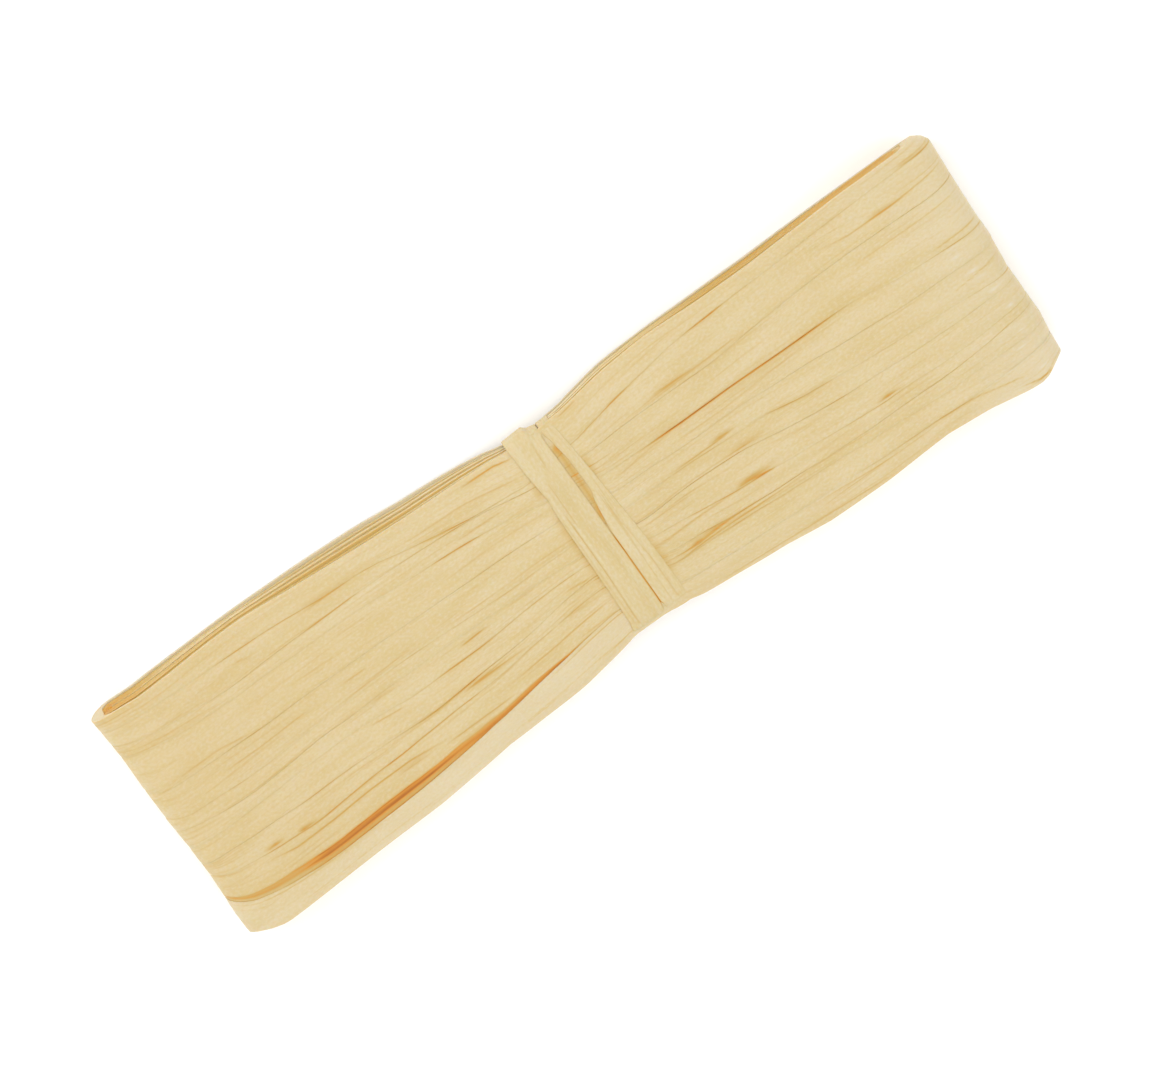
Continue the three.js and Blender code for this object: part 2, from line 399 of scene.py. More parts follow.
def shadeByTie(seenX, seenY, onTop):  # in the opening and along the tie's edges
    shade = bell(seenX - openingShade["x"], openingShade["width"]) * ease(seenY, *openingShade["frontY"])
    shade = shade * (1 - ease(seenY, *openingShade["backY"])) * onTop
    for line, strength, wide in tieShade:
        shade = shade + strength * bell(seenX - follow(line, seenY), wide) * onTop
    return openingShade["paintedLight"] * shade


# Painted highlights: small glints on the bend of the narrow end, and how much paler that end is painted
# where the light falls on it.
glintForm = {"strength": 1.5, "long": 0.8, "wide": 0.35}
paintedLitEnd = {"least": 0.15, "more": 0.3, "x": (95, 122)}


def paintHighlights(rng, seenX, seenY, onTop, level, spec):
    paler = ease(-alongX, *paintedLitEnd["x"])
    paintedLighter = spec["paintedLighter"] + (paintedLitEnd["least"] + paintedLitEnd["more"] * rng.random()) * paler[:, None] * (level == 0)
    paintedLighter = paintedLighter * np.clip(0.9 + drift(rng, 60, 0.3), 0, 1.3)[:, None]
    for atX, atY in glints:
        near = np.exp(-(((seenX - atX) / glintForm["long"]) ** 2) - ((seenY - atY) / glintForm["wide"]) ** 2)
        paintedLighter = paintedLighter + glintForm["strength"] * near * onTop
    return np.clip(paintedLighter, 0, 1)


# Painted light on the walls: painted shade along the plies' edges, less of it near the waist, and lower rows
# painted paler against the shade near the floor.
def shadeWalls(rng, wall, level, spec):  # the back wall's and the front wall's
    plyEdges = np.abs(np.cos(math.pi * spec["plies"][level] * wall)) ** 6
    wallShading = np.tile(spec["wallShading"][level] + spec["wallLine"][level] * plyEdges, (rowCount, 1))
    wallShading = wallShading * (1 + 0.35 * drift(rng, 90, 1) - 0.8 * (1 - spread(alongX)))[:, None]
    frontWallShading = wallShading
    if level > 0:
        lowAndWide = ease(-rowOutZ, 0, 0.5) * ease(alongX, 15, 45) * ease(-alongX, -115, -95)
        frontWallShading = wallShading + (frontPlyShade * (1 + 0.2 * drift(rng, 40, 1)) - 0.25 * lowAndWide)[:, None]
    elif spec["front"]:
        frontWallShading = wallShading - 0.5 * ease(-rowOutZ, 0, 0.5)[:, None]
        frontWallShading = np.clip(frontWallShading, -1, 1) * (1 - 0.75 * ease(rowReach, 119, 124)[:, None])
    return np.clip(wallShading, -1, 1), np.clip(frontWallShading, -1, 1)


# Painted shade on a strand's inner face: more away from its edges and towards the folds at the front.
def innerFaceShade(fromEdge, level, spec):
    deep = 0.12 + 0.48 * ease(fromEdge, 0.3, 2.5)
    if spec["front"]:
        deep = deep + (0.8 - deep) * ease(rowReach, 96, 114)[:, None] * ease(rowOutZ, -0.8, 0)[:, None]
    if spec["front"] and level == 0:  # the rim that shows below the others is painted pale against the shade near the floor
        deep = deep - 0.9 * (1 - ease(fromEdge, 0.4, 1.6)) * ease(-rowOutZ, 0.2, 0.8)[:, None]
    return deep


def noteTaken(left, right, y, under):
    within = (gridY[None, :] >= left[:, None]) & (gridY[None, :] <= right[:, None])
    reached = np.stack([np.interp(gridY, y[i], under[i]) for i in range(rowCount)])
    taken[:] = np.maximum(taken, np.where(within, reached, 0))


# Makes one strand. Left is its front edge and right its back edge, row by row.
def layStrand(name, seed, left, right, level, spec):
    rng = np.random.default_rng(seed)
    width = right - left
    columns = max(8, round(float(width.max()) / spec["columnStep"]))
    share = np.linspace(0, 1, columns + 1)
    y = left[:, None] + width[:, None] * share
    depth = restOn(y, level, spec)
    depth = depth + np.maximum(drift(rng, 70, spec["heave"]) + spec["heave"], 0.01)[:, None]
    creaseDepth, crease = layCreases(rng, y, width, spec["creases"], spec["creaseDepth"])
    radius = foldRadius - depth
    seenX, seenY, _ = drawIn(rowX[:, None] + radius * rowOutX[:, None], y, radius * rowOutZ[:, None])
    onTop = ease(rowOutZ, 0.1, 0.7)[:, None] * (level == 0)
    foldDepth, fold = layFolds(seenX, seenY, onTop)
    pillow = spec["pillow"] * (np.abs(2 * share - 1) ** 4)[None, :]
    # Painted shade: more on the hidden levels, along folds and along creases.
    paintedLight = spec["hiddenShade"][level] + 0.75 * fold + 0.4 * crease
    lie = depth + pillow
    depth, paintedLight = shadeSeams(rng, spec["seams"], y, depth, paintedLight)
    if spec["groove"]:
        depth, paintedLight = openGroove(y, depth, paintedLight)
    inside = innerDepth(lie, depth, level, spec)
    outside = np.minimum(depth + creaseDepth + foldDepth + pillow, inside - 0.08)
    paintedLight = paintedLight + 0.05 * onTop * ease(alongX, 30, 110)[:, None]
    paintedLighter = paintHighlights(rng, seenX, seenY, onTop, level, spec)
    paintedLight = np.clip(paintedLight + shadeByTie(seenX, seenY, onTop), 0, 1)
    # Painted highlight: where there is little painted shade, the paleness paints the strand lighter, towards
    # cream.
    paintedLight = paintedLight - paintedLighter * (1 - np.clip(4 * paintedLight, 0, 1))

    # The ring round one row: the outer face, the back wall, the inner face and the front wall.
    wall = np.linspace(0, 1, spec["wallSteps"][level] + 2)[1:-1]
    plies = spec["plies"][level]
    ragged = 1 + 0.35 * drift(rng, 16, 1)[:, None]
    if plies > 1:
        notch = spec["notch"] * np.abs(np.cos(math.pi * plies * wall)) * ragged
    else:
        notch = np.tile(-0.02 * np.sin(math.pi * wall), (rowCount, 1))
    innerShare = np.linspace(1, 0, spec["innerColumns"] + 1)
    innerY = left[:, None] + width[:, None] * innerShare
    insideAt = np.stack([np.interp(innerShare, share, row) for row in inside])
    backDepth = outside[:, -1:] * (1 - wall) + inside[:, -1:] * wall
    frontDepth = outside[:, :1] * wall + inside[:, :1] * (1 - wall)
    backY = right[:, None] - notch
    frontY = left[:, None] + notch[:, ::-1]
    wallShading, frontWallShading = shadeWalls(rng, wall, level, spec)
    deep = innerFaceShade(np.minimum(innerShare, 1 - innerShare) * width[:, None], level, spec)
    ringY = np.concatenate([y, backY, innerY, frontY, y[:, :1]], axis=1)
    ringDepth = np.concatenate([outside, backDepth, insideAt, frontDepth, outside[:, :1]], axis=1)
    ringTint = np.concatenate([paintedLight, wallShading, deep, frontWallShading, paintedLight[:, :1]], axis=1)
    apart = spec["patternShift"]  # so that the inner face has streaks of its own
    thickness = spec["thickness"][level]
    lateral = np.concatenate([
        y, right[:, None] + wall * thickness, innerY + apart, left[:, None] - wall[::-1] * thickness - apart,
        y[:, :1] - apart - thickness,
    ], axis=1)
    noteTaken(left, right, y, lie + spec["step"] if level == 0 else inside + 0.04)

    radius = foldRadius - ringDepth
    z = radius * rowOutZ[:, None]
    newX, newY, newZ = drawIn(rowX[:, None] + radius * rowOutX[:, None], ringY, z)
    newX = newX * (1 + rng.uniform(-1, 1) * spec["reach"] / (bundle["length"] / 2))
    newZ = newZ - spec["sink"] * (z > 0) * sinkAt(alongX)[:, None]
    spots = np.stack([newX, newY, newZ], axis=2) * mm
    uv = np.stack([np.tile(rowLength[:, None], (1, ringY.shape[1])), lateral], axis=2) * mm
    return ribbonMesh(name, spots, uv, ringTint)


# A strip's mesh is a grid whose two long edges are joined and whose ends are closed.
meshing = {"weld": 1e-7, "smoothAngle": 48}


def ribbonMesh(name, spots, uv, paintedLight):
    rows, ring = spots.shape[:2]
    bpy.ops.object.select_all(action="DESELECT")
    bpy.ops.mesh.primitive_grid_add(x_subdivisions=ring - 1, y_subdivisions=rows - 1, size=1)
    piece = bpy.context.object
    piece.name = name
    mesh = piece.data
    mesh.name = name
    flat = np.empty(len(mesh.vertices) * 3)
    mesh.vertices.foreach_get("co", flat)
    flat = flat.reshape(-1, 3)
    column = np.rint((flat[:, 0] + 0.5) * (ring - 1)).astype(int)
    row = np.rint((flat[:, 1] + 0.5) * (rows - 1)).astype(int)
    mesh.vertices.foreach_set("co", spots[row, column].ravel())
    corner = np.empty(len(mesh.loops), dtype=int)
    mesh.loops.foreach_get("vertex_index", corner)
    mesh.uv_layers.active.data.foreach_set("uv", uv[row[corner], column[corner]].ravel())
    # The per-point painted light: painted shade in creases, folds, seams, the groove and hidden faces above
    # 0, and a painted highlight below 0.
    mesh.attributes.new("paintedLight", "FLOAT", "POINT").data.foreach_set("value", paintedLight[row, column])
    bpy.ops.object.mode_set(mode="EDIT")
    bpy.ops.mesh.select_all(action="SELECT")
    bpy.ops.mesh.remove_doubles(threshold=meshing["weld"])
    bpy.ops.mesh.fill_holes(sides=0)
    bpy.ops.mesh.select_all(action="SELECT")
    bpy.ops.mesh.normals_make_consistent(inside=False)
    bpy.ops.object.mode_set(mode="OBJECT")
    bpy.ops.object.shade_smooth_by_angle(angle=math.radians(meshing["smoothAngle"]))
    return piece


class Socket:
    def __init__(self, tree, out):
        self.tree = tree
        self.out = out

    def math(self, operation, other, flip=False, clamp=False):
        node = self.tree.nodes.new("ShaderNodeMath")
        node.operation = operation
        node.use_clamp = clamp
        first, second = (other, self) if flip else (self, other)
        for index, value in ((0, first), (1, second)):
            if isinstance(value, Socket):
                self.tree.links.new(value.out, node.inputs[index])
            elif value is not None:
                node.inputs[index].default_value = value
        return Socket(self.tree, node.outputs[0])

    def __add__(self, other):
        return self.math("ADD", other)

    def __radd__(self, other):
        return self.math("ADD", other, flip=True)

    def __sub__(self, other):
        return self.math("SUBTRACT", other)

    def __rsub__(self, other):
        return self.math("SUBTRACT", other, flip=True)

    def __mul__(self, other):
        return self.math("MULTIPLY", other)

    def __rmul__(self, other):
        return self.math("MULTIPLY", other, flip=True)

    def clip(self):
        return self.math("ADD", 0.0, clamp=True)

    def size(self):
        return self.math("ABSOLUTE", None)


class Paint:
    def __init__(self, name):
        self.material = bpy.data.materials.new(name)
        self.material.use_nodes = True
        self.tree = self.material.node_tree
        self.shader = self.tree.nodes["Principled BSDF"]

    def node(self, kind, settings=None, output=0, **values):
        made = self.tree.nodes.new(kind)
        for key, value in (settings or {}).items():
            setattr(made, key, value)
        for key, value in values.items():
            self.put(made, key, value)
        return Socket(self.tree, made.outputs[output])

    def put(self, made, name, value):
        if isinstance(value, Socket):
            self.tree.links.new(value.out, made.inputs[name])
        else:
            made.inputs[name].default_value = value

    def mix(self, share, first, second):
        made = self.tree.nodes.new("ShaderNodeMix")
        made.data_type = "RGBA"
        for index, value in ((0, share), (6, first), (7, second)):
            if isinstance(value, Socket):
                self.tree.links.new(value.out, made.inputs[index])
            elif index:
                made.inputs[index].default_value = (*value, 1)
            else:
                made.inputs[index].default_value = value
        return Socket(self.tree, made.outputs[2])


studioLevel = 1.53  # how much brighter than its own colour the studio light shows a surface


def asLit(red, green, blue):  # the colour that shows as this one, 0 to 255, under the studio light
    lit = [((c / 255 + 0.055) / 1.055) ** 2.4 for c in (red, green, blue)]
    return tuple(c / studioLevel for c in lit)


raffiaColours = {
    "cream": asLit(234, 221, 191),
    "pale": asLit(232, 212, 167),
    "straw": asLit(226, 202, 147),
    "warm": asLit(222, 194, 127),
    "gold": asLit(216, 178, 98),
    "orange": asLit(226, 152, 50),
    "deep": asLit(186, 106, 22),
}
raffia = {
    "roughness": 0.5,
    "specular": 0.35,
    "bump": 0.4,
    "bumpHeight": 0.0002,
    "glow": 0.3,  # how much light passes through the thin strip
    "glowColour": (1.0, 0.5, 0.18),
    "glowDepth": 0.001,
}
# The streaks along a strip: how fine along it and across it, their detail, and a shift of their own.
raffiaStreaks = {
    "broad": (8, 150, 2.0, 0.0),
    "patch": (55, 240, 3.0, 3.0),
    "fine": (60, 1500, 3.0, 5.0),
    "hair": (18, 800, 1.0, 9.0),
    "hairShown": (40, 420, 1.0, 13.0),
    "grain": (1000, 1500, 2.0, 17.0),
}


def raffiaMaterial(name, seed, tone, lift, **ownColour):
    paint = Paint(name)
    colour = {key: tuple(lift * c for c in value) for key, value in raffiaColours.items()}
    colour.update(ownColour)
    uv = paint.node("ShaderNodeUVMap", {"uv_map": "UVMap"})
    along = paint.node("ShaderNodeSeparateXYZ", output=0, Vector=uv)
    across = paint.node("ShaderNodeSeparateXYZ", output=1, Vector=uv)

    def streaks(kind):
        alongScale, acrossScale, detail, offset = raffiaStreaks[kind]
        atX, atY = along * alongScale, across * acrossScale
        place = paint.node("ShaderNodeCombineXYZ", X=atX, Y=atY, Z=seed + offset)
        settings = {"noise_dimensions": "3D"}
        return paint.node("ShaderNodeTexNoise", settings, Vector=place, Scale=1.0, Detail=detail)

    broad = streaks("broad")
    patch = streaks("patch")
    fine = streaks("fine")
    hair = streaks("hair")
    hairLine = (1 - (hair - 0.5).size() * 24).clip() * ((streaks("hairShown") - 0.52) * 7).clip()
    grain = streaks("grain")
    paintedLight = paint.node("ShaderNodeAttribute", {"attribute_name": "paintedLight"}, output=2)
    shade = (paintedLight * (0.8 + 0.4 * fine)).clip()
    base = paint.mix(((broad + patch - 0.95) * 2.0 + tone).clip(), colour["pale"], colour["straw"])
    # The streaks and grain are the raffia's own; the last four layers are painted light: cream highlights
    # where the attribute is below 0, and painted shade through gold, orange and deep orange as it rises.
    for share, over in (
        (((fine + patch - 0.95) * 0.9).clip(), "warm"),
        (((grain - 0.5) * 1.8).clip(), "cream"),
        (((0.5 - grain) * 1.8).clip(), "warm"),
        (hairLine * 0.35, "gold"),
        ((paintedLight * -1.0).clip(), "cream"),
        ((shade * 2.4).clip(), "gold"),
        (((shade - 0.38) * 2.6).clip(), "orange"),
        (((shade - 0.75) * 3.5).clip(), "deep"),
    ):
        base = paint.mix(share, base, colour[over])
    height = fine * 0.3 + hair * 0.25 + patch * 1.2 + grain * 0.45 - hairLine * 0.2
    bump = paint.node(
        "ShaderNodeBump", Height=height, Strength=raffia["bump"], Distance=raffia["bumpHeight"]
    )
    paint.put(paint.shader, "Base Color", base)
    paint.put(paint.shader, "Roughness", (raffia["roughness"] + 0.14 * (fine - 0.5)).clip())
    paint.put(paint.shader, "Normal", bump)
    paint.put(paint.shader, "Specular IOR Level", raffia["specular"])
    paint.put(paint.shader, "Subsurface Weight", raffia["glow"])
    paint.put(paint.shader, "Subsurface Radius", raffia["glowColour"])
    paint.put(paint.shader, "Subsurface Scale", raffia["glowDepth"])
    return paint.material


outerPaint = raffiaMaterial("raffiaOuter", 1.0, 0.45, 1.0)
# The inner strands are lit from the side only, so they are painted brighter, a lit copy of the raffia with
# their own gold and orange.
innerColours = {"gold": asLit(220, 180, 92), "orange": asLit(220, 160, 30)}
innerPaint = raffiaMaterial("raffiaInner", 21.0, 0.7, 1.09, **innerColours)
tiePaint = raffiaMaterial("raffiaTie", 43.0, 0.4, 1.0)
print("materials made")

# The edges of the tie's first turn and its second on top, from front to back, as (y, x).
firstInnerEdge = (
    (-31, -5.5), (-28, -5.9), (-24, -6.9), (-18.7, -7.7), (-8.7, -8.0), (-5.6, -7.2), (-0.3, -6.6),
    (5, -6.05), (29, -6.0),
)
firstOuterEdge = ((-29, -9.6), (-20, -10.5), (-1, -11.9), (8, -12.5), (29, -13.2))
secondInnerEdge = ((-29, -5.5), (-18, -5.7), (-2.5, -5.85), (8, -6.05), (18, -6.1), (29, -6.0))
secondOuterEdge = ((-31, 3.7), (-24, 3.5), (-19.4, 3.2), (-13, 2.4), (-8, 2.8), (8, 3.05), (29, 3.5))
# The shade along each of them on the strands: how strong and how wide.
tieShade = (
    (firstOuterEdge, 0.7, 0.3),
    (secondOuterEdge, 0.7, 0.3),
    (firstInnerEdge, 0.8, 0.2),
    (secondInnerEdge, 0.8, 0.2),
)

# The front edge of the foremost strand, as seen from above, as points (x, y).
upperFront = (
    (130, -34.6), (127, -34.9), (122, -34.9), (117, -34.2), (110, -34.2), (104, -34.4), (94, -34.7),
    (82, -34.6), (69, -33.5), (56, -32.6), (43, -31.7), (30, -31.2), (18, -30.8), (4, -30.3), (-5, -30.2),
    (-14, -30.9), (-28, -32.8), (-42, -34.0), (-59, -33.4), (-74, -33.5), (-94, -34.5), (-104.5, -35.4),
    (-120, -35.9), (-130, -35.9),
)
# The seams between neighbouring upper strands, front to back, as points (x, y) along each.
upperSeams = (
    (
        (129, -31.3), (113, -29.7), (84, -28.6), (69, -27.5), (48, -26.2), (36, -23.9), (20, -21.2),
        (4, -20.2), (-11, -22.5), (-26, -24.9), (-34, -26.5), (-45, -28.1), (-52, -28.6), (-62, -29.3),
        (-75, -29.6), (-88, -30.4), (-106, -31.7), (-121, -32.4), (-130, -32.7),
    ),
    (
        (129, -26.6), (117, -24), (97, -21.8), (71, -22.3), (56, -22.7), (28, -21.8), (4, -18.6),
        (-11, -17.9), (-25, -18.2), (-53, -18.3), (-70, -19.9), (-83, -20.7), (-106, -21.6), (-121, -21.5),
        (-130, -22.5),
    ),
    (
        (129, -22.9), (117, -20.5), (97, -19.1), (78, -19.1), (59, -18.9), (35, -17.3), (22, -16.6),
        (4, -13.9), (-14, -11), (-27, -10.2), (-52, -10.5), (-75, -10.2), (-90, -10.3), (-98, -9.1),
        (-113, -8.2), (-129, -7.9),
    ),
    (
        (129, -12.7), (125, -9.8), (112, -9.5), (97, -8.5), (79, -8.6), (56, -8.6), (28, -8.1), (4, -7.8),
        (-13, -5.7), (-27, -4.7), (-52, -4.7), (-75, -3.4), (-80, -2.6), (-101, -1.8), (-129, -2.1),
    ),
    (
        (129, -3.7), (123, -1.6), (111, -0.8), (97, -0.2), (74, -1), (59, -1.3), (46, -1.1), (28, -0.2),
        (4, -0.5), (-13, -0.5), (-31, -0.2), (-55, 0.8), (-65, 2.7), (-75, 3.5), (-83, 4.3), (-93, 4.8),
        (-111, 5.2), (-128, 6.5),
    ),
    (
        (129, 1), (115, 2.9), (105, 3.8), (89, 3), (69, 2.5), (54, 2.2), (33, 2.4), (4, 3), (-13, 4.8),
        (-37, 4.7), (-47, 5.3), (-55, 6.6), (-65, 8.2), (-75, 9), (-85, 9.3), (-96, 9.8), (-111, 9.4),
        (-128, 8.9),
    ),
    (
        (128, 6.8), (111, 6.8), (97, 6.5), (71, 6.4), (60, 7.8), (36, 7.5), (27, 6.6), (11, 5.8), (4, 5.6),
        (-12, 9.5), (-27, 11.4), (-37, 12.8), (-49, 13.5), (-62, 14.8), (-75, 15.8), (-81, 16.2),
        (-101, 16.2), (-111, 15.7), (-127, 14.4),
    ),
    (
        (128, 12), (112, 12.6), (97, 13.7), (83, 13.7), (54, 14.6), (41, 13.3), (28, 12.7), (4, 9),
        (-14, 15.6), (-32, 17.7), (-42, 18.5), (-75, 20), (-85, 19.9), (-103, 19.5), (-116, 17.8),
        (-127, 16.8),
    ),
    (
        (128, 15.2), (122, 17.3), (108, 18.9), (97, 19.8), (74, 18.6), (48, 17.1), (36, 16.6), (29, 15.3),
        (16, 14.2), (4, 12.7), (-14, 19), (-42, 20.3), (-75, 22.4), (-94, 23.4), (-127, 22.3),
    ),
    (
        (128, 21), (123, 23.8), (116, 25.8), (108, 26.4), (97, 27.1), (69, 26.2), (41, 24.4), (27, 22.6),
        (18, 22), (4, 20), (-13, 24.5), (-31, 26.1), (-52, 26.9), (-75, 28.2), (-89, 28.2), (-101, 28.4),
        (-127, 26.5),
    ),
)
# Where the side strand leaves a groove open.
grooveFront = (
    (128, 21.8), (123, 25.7), (115, 28.3), (97, 30.3), (74, 29.5), (59, 28.2), (41, 26.1), (27, 23.7),
    (18, 22.5), (4, 20),
)
# The folds that show on top: how strong each is, and points along it.
upperFolds = (
    (0.8, (18, -29.1), (9, -29.1), (4, -28.1)),
    (0.35, (27, -18.6), (13, -18.3)),
    (0.35, (109, -5.3), (97, -4.9), (82, -5.2)),
    (0.3, (72, -5.5), (64, -5.5)),
    (0.25, (74, -1.5), (56, -2.8), (50, -3.6)),
    (0.25, (36, -12), (21, -12.3), (4, -11.8)),
    (0.7, (42, 4.5), (34, 4)),
    (0.4, (72, 7.7), (62, 8.7)),
    (0.4, (46, 14.5), (28, 14.5)),
    (0.6, (112, 20.5), (105, 21.9), (93, 21.9), (82, 21.3), (69, 21.1), (59, 22.1)),
    (0.5, (59, 23.2), (38, 22.9)),
    (0.45, (36, 20), (21, 18.7), (4, 16.6)),
    (0.3, (16, 20.8), (4, 20)),
    (0.35, (36, -26), (21, -25.4), (4, -22.8)),
    (0.3, (92, -26.7), (87, -25.4)),
    (0.3, (120, -11.1), (107, -11), (97, -9.1)),
    (0.2, (46, 31.3), (28, 29.8), (4, 27.1)),
    (0.45, (12, 8.5), (5, 9)),
    (0.35, (35, -17.3), (28, -16.9), (23, -16.5)),
    (0.35, (36, -23.9), (30, -22.5), (20, -21.3)),
    (0.2, (74, -22.3), (56, -22.7)),
    (0.4, (50, 7.6), (38, 7.6), (33, 7.4)),
    (0.35, (64, 14.5), (54, 14.6), (41, 13.3)),
    (0.5, (-11, -29.6), (-18, -30.9)),
    (0.35, (-32, -19.4), (-36, -20.2), (-47, -19.8), (-62, -20.2)),
    (0.4, (-90, -26.2), (-98, -25.2), (-111, -25.5), (-126, -26.8), (-130, -27.3)),
    (0.3, (-95, -17.8), (-116, -18.3), (-129, -19)),
    (0.3, (-14, -8.3), (-32, -9.7)),
    (0.25, (-30, -6.8), (-47, -6.7), (-75, -8.3)),
    (0.5, (-28, -0.7), (-42, -0.7), (-46, -1)),
    (0.3, (-12, 6.1), (-29, 6.8)),
    (0.35, (-113, -9.5), (-129, -10)),
    (0.3, (-111, 2.6), (-128, 0.7)),
    (0.45, (-12, 12.5), (-37, 12.8)),
    (0.8, (-43, 12.8), (-49, 13.5)),
    (0.5, (-13, 17.3), (-23, 18.5), (-32, 17.9), (-42, 18.2)),
    (0.25, (-52, 29.5), (-75, 29)),
    (0.35, (-22, 30), (-43, 31.3), (-75, 33.2)),
    (0.35, (-89, 28.2), (-101, 28.4), (-116, 31.2)),
    (1, (-26, -10.1), (-37, -10.1), (-52, -10.3), (-67, -10.1), (-85, -10.2)),
    (0.35, (-23, -24.6), (-31, -25.7)),
    (0.4, (-52, -28.6), (-61, -29.2)),
    (0.5, (-14, 19), (-32, 19), (-48, 19.5)),
    (0.4, (-55, 0.8), (-65, 2.7), (-75, 3.5)),
    (0.5, (-113, 33), (-118, 34), (-124, 33.4)),
)
# Small puckers: where, half their length and how strong.
puckers = (
    (110, 17.8, 2, 0.9), (101, 19, 2, 0.9), (-42, -1.3, 3, 0.7), (-46, 4, 6, 0.45), (-42, 12.3, 4.5, 1.0),
    (-22, 17.9, 2.2, 0.95), (-28, 17.7, 3.5, 0.7), (-83, 15.3, 2.5, 0.95), (70, 22.4, 4, 0.45),
    (65, -27, 7, 0.45), (43, 14.5, 6, 0.4), (-39, -19.9, 5, 0.3), (-108, -25.8, 5, 0.5), (66, 2.7, 4, 0.3),
    (13, 14, 5, 0.35), (-31, -10.5, 5, 0.3), (-121, -32.9, 6, 0.35),
)
# Painted highlights: small glints on the bend of the narrow end.
glints = (
    (-118.5, -7.5), (-118, -4.9), (-120, 2.9), (-121.1, 7.6), (-121.1, 20.7), (-119, 24.4), (-120.6, 31.6),
    (-119.4, 0.5), (-122, 13.5),
)
# How dark each seam is, as (x, share) along it.
seamShade = (
    (
        (127, 0.1), (105, 0), (91, 0.6), (72, 0.4), (50, 0.45), (36, 0.2), (27, 0.5), (8, 0.4), (-10, 0.2),
        (-19, 0.6), (-30, 0.5), (-45, 0.15), (-56, 0.8), (-65, 0.4), (-75, 0.1), (-97, 0.35), (-110, 0.15),
        (-120, 0.3), (-126, 0.6),
    ),
    (
        (127, 0.1), (105, 0.05), (82, 0.3), (63, 0.35), (45, 0.15), (27, 0.5), (17, 0.1), (8, 0.4),
        (-10, 0.1), (-19, 0.35), (-35, 0.05), (-47, 0.4), (-56, 0.05), (-65, 0.3), (-80, 0.1), (-111, 0.25),
        (-120, 0.4),
    ),
    (
        (127, 0.1), (91, 0.15), (50, 0.05), (36, 0.3), (27, 0.6), (17, 0.1), (-12, 0.1), (-25, 0.3),
        (-80, 0.2), (-93, 0.05), (-111, 0.2), (-120, 0.5),
    ),
    (
        (127, 0.1), (109, 0.15), (98, 0.45), (91, 0.4), (82, 0.1), (45, 0.05), (17, 0.35), (8, 0.1),
        (-19, 0.1), (-38, 0.25), (-56, 0.05), (-84, 0.25), (-93, 0.4), (-102, 0.15), (-120, 0.1),
    ),
    (
        (127, 0.1), (109, 0.25), (91, 0.05), (63, 0.1), (54, 0.35), (45, 0.1), (27, 0.4), (12, 0.2),
        (-19, 0.05), (-38, 0.5), (-47, 0.15), (-74, 0.15), (-88, 0.25), (-105, 0.05), (-120, 0.25),
    ),
    (
        (127, 0.1), (112, 0.25), (91, 0.05), (72, 0.05), (45, 0), (10, 0.05), (-19, 0.25), (-38, 0.4),
        (-60, 0.2), (-74, 0.5), (-84, 0.1), (-100, 0.3), (-120, 0.2),
    ),
    (
        (127, 0), (109, 0.15), (72, 0.05), (54, 0.35), (45, 0.5), (36, 0.6), (25, 0.4), (8, 0.5),
        (-12, 0.1), (-29, 0.5), (-47, 0.6), (-56, 0.05), (-74, 0.4), (-84, 0.5), (-93, 0.15), (-120, 0.25),
    ),
    (
        (127, 0.05), (105, 0.15), (91, 0.6), (80, 0.15), (63, 0.3), (45, 0.6), (36, 0.4), (22, 0), (8, 0.5),
        (-15, 0), (-29, 0.5), (-38, 0.2), (-47, 0.4), (-65, 0.15), (-84, 0.3), (-111, 0.3), (-120, 0.3),
    ),
    (
        (127, 0.1), (118, 0.05), (109, 0.7), (91, 0.6), (72, 0.9), (54, 0.75), (36, 0.3), (8, 0.25),
        (-19, 0.2), (-35, 0.45), (-47, 0.1), (-74, 0.1), (-90, 0), (-120, 0.1),
    ),
    (
        (127, 0), (110, 0.5), (40, 0.3), (27, 0.15), (8, 0.12), (-15, 0.05), (-65, 0), (-84, 0.5),
        (-93, 0.4), (-110, 0.1),
    ),
)
# The strands. A group of three values is for the outer, the middle and the inner level.
strands = {
    "depth": (0.0, 1.2, 2.6),
    "thickness": (0.25, 1.2, 1.4),
    "deepest": (2.0, 3.6, 7.0),
    "plies": (1, 4, 6),
    "wallSteps": (2, 9, 13),
    # Painted shade for each level: on the walls, along the plies' edges, and on the faces of the hidden
    # levels; below 0 the walls are painted paler.
    "wallShading": (-0.3, 0.14, 0.16),
    "wallLine": (0.12, 0.3, 0.3),
    "hiddenShade": (0.0, 0.25, 0.35),
    "step": 0.04,
    "notch": 0.07,
    "columnStep": 0.22,
    "innerColumns": 8,
    "edgeDrift": 0.6,
    "heave": 0.03,
    "creases": 5,
    "creaseDepth": 0.07,
    "pillow": 0.07,
    "reach": 0.06,
    "overlap": 1.3,
    "sink": 0.0,
    "paintedLighter": 0.0,
    "patternShift": 12,
    "seams": (),
    "groove": False,
    "front": False,
}
edgeStrand = dict(strands, thickness=(1.1, 1.2, 1.4), plies=(4, 4, 6), wallSteps=(11, 9, 13))
sideNumber = 11  # the side strand's place, counted from the front
layingOrder = (11, 3, 7, 1, 9, 5, 10, 2, 8, 4, 6)  # the first lies over its neighbours
# Where the edges and the seams lie underneath, front to back.
lowerEdges = (-35.6, -30.0, -23.6, -17.8, -11.4, -5.2, 0.9, 7.5, 13.6, 20.2, 27.4, 36.3)
cutCorners = {"wideEnd": 2.4, "wideEndX": (119, 130), "narrowEnd": 3.0, "narrowEndX": (121, 129)}


